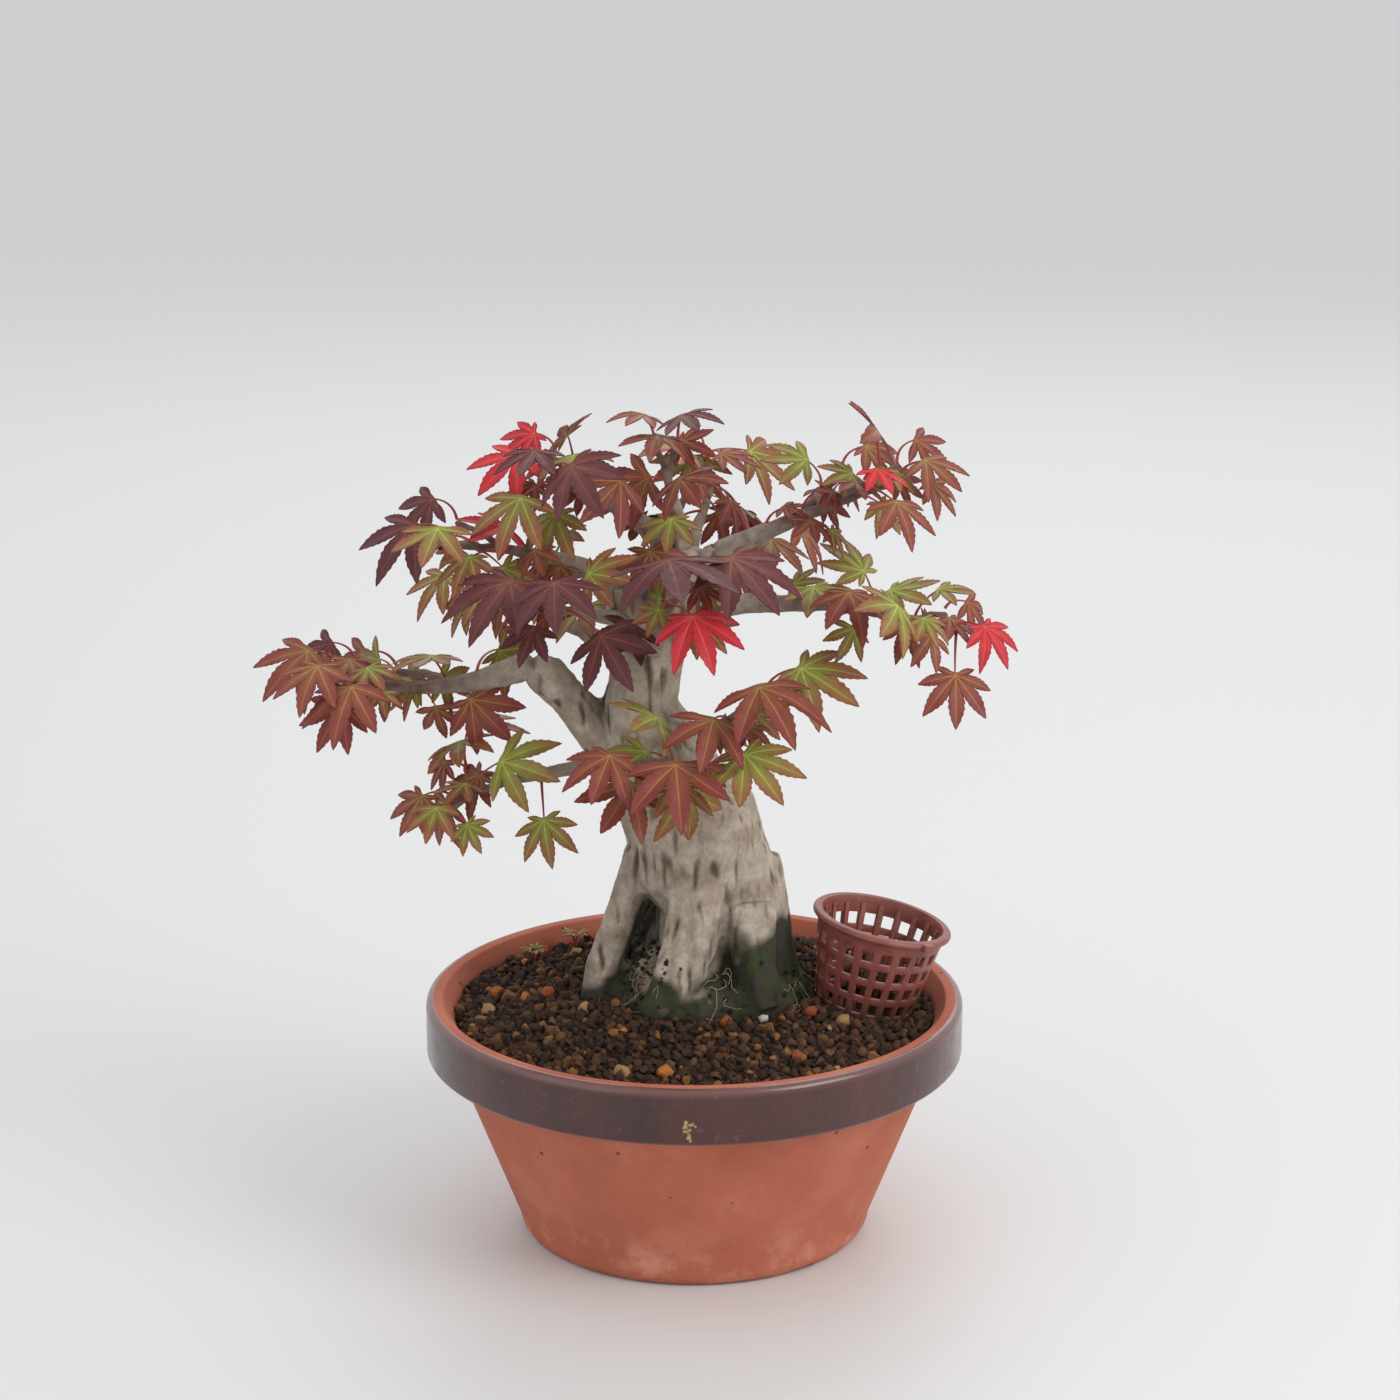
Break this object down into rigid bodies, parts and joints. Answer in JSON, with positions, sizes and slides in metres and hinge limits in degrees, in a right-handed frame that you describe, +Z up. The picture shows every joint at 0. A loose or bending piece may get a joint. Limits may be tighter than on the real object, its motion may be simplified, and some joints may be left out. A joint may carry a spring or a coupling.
{
  "type": "bonsai tree in a pot",
  "caption": "Old maple grown small in a round clay pot with a glazed rim, its roots in grained soil beside a lattice feed basket.",
  "frame": {"origin": "middle of the whole object's footprint, on the surface the pot stands on; the pot's axis is 18 mm towards +X from it", "axes": "+Z up along the pot's axis; +Y away from the side the tree is shown from, +X to the right of someone looking at that side"},
  "size_m": [0.2426, 0.18, 0.283],
  "materials": {
    "terracotta": "matt unglazed red clay, with a dark brown-red glaze on the rim band only",
    "brown_plastic": "weathered reddish brown moulded plastic",
    "black_net": "black moulded plastic net",
    "coarse_grit": "loose pumice grit",
    "soil_grains": "damp baked-clay soil grains",
    "bark": "rough pale grey-beige bark, darker and mossy at the roots",
    "maroon_blade": "thin living leaf, dark maroon",
    "russet_blade": "thin living leaf, red-brown",
    "scarlet_blade": "thin young leaf, bright red",
    "green_blade": "thin living leaf, yellow-green"
  },
  "bodies": {
    "root": {"back_left_branch": "bark", "back_right_branch": "bark", "crown_left_branch": "bark", "crown_middle_branch": "bark", "crown_right_branch": "bark", "drain_net": "black_net", "drainage_layer": "coarse_grit", "feed_basket": "brown_plastic", "front_high_branch": "bark", "front_low_branch": "bark", "green_leaf_1": "green_blade", "green_leaf_2": "green_blade", "green_leaf_3": "green_blade", "green_leaf_4": "green_blade", "green_leaf_5": "green_blade", "green_leaf_6": "green_blade", "inner_left_branch": "bark", "left_branch": "bark", "low_left_branch": "bark", "low_right_branch": "bark", "maroon_leaf_1": "maroon_blade", "maroon_leaf_10": "maroon_blade", "maroon_leaf_11": "maroon_blade", "maroon_leaf_2": "maroon_blade", "maroon_leaf_3": "maroon_blade", "maroon_leaf_4": "maroon_blade", "maroon_leaf_5": "maroon_blade", "maroon_leaf_6": "maroon_blade", "maroon_leaf_7": "maroon_blade", "maroon_leaf_8": "maroon_blade", "maroon_leaf_9": "maroon_blade", "pot": "terracotta", "right_branch": "bark", "russet_leaf_1": "russet_blade", "russet_leaf_10": "russet_blade", "russet_leaf_11": "russet_blade", "russet_leaf_12": "russet_blade", "russet_leaf_13": "russet_blade", "russet_leaf_14": "russet_blade", "russet_leaf_15": "russet_blade", "russet_leaf_16": "russet_blade", "russet_leaf_17": "russet_blade", "russet_leaf_18": "russet_blade", "russet_leaf_19": "russet_blade", "russet_leaf_2": "russet_blade", "russet_leaf_3": "russet_blade", "russet_leaf_4": "russet_blade", "russet_leaf_5": "russet_blade", "russet_leaf_6": "russet_blade", "russet_leaf_7": "russet_blade", "russet_leaf_8": "russet_blade", "russet_leaf_9": "russet_blade", "scarlet_leaf_1": "scarlet_blade", "scarlet_leaf_2": "scarlet_blade", "scarlet_leaf_3": "scarlet_blade", "scarlet_leaf_4": "scarlet_blade", "soil": "soil_grains", "trunk": "bark", "upper_left_branch": "bark", "upper_right_branch": "bark"}
  },
  "joints": []
}
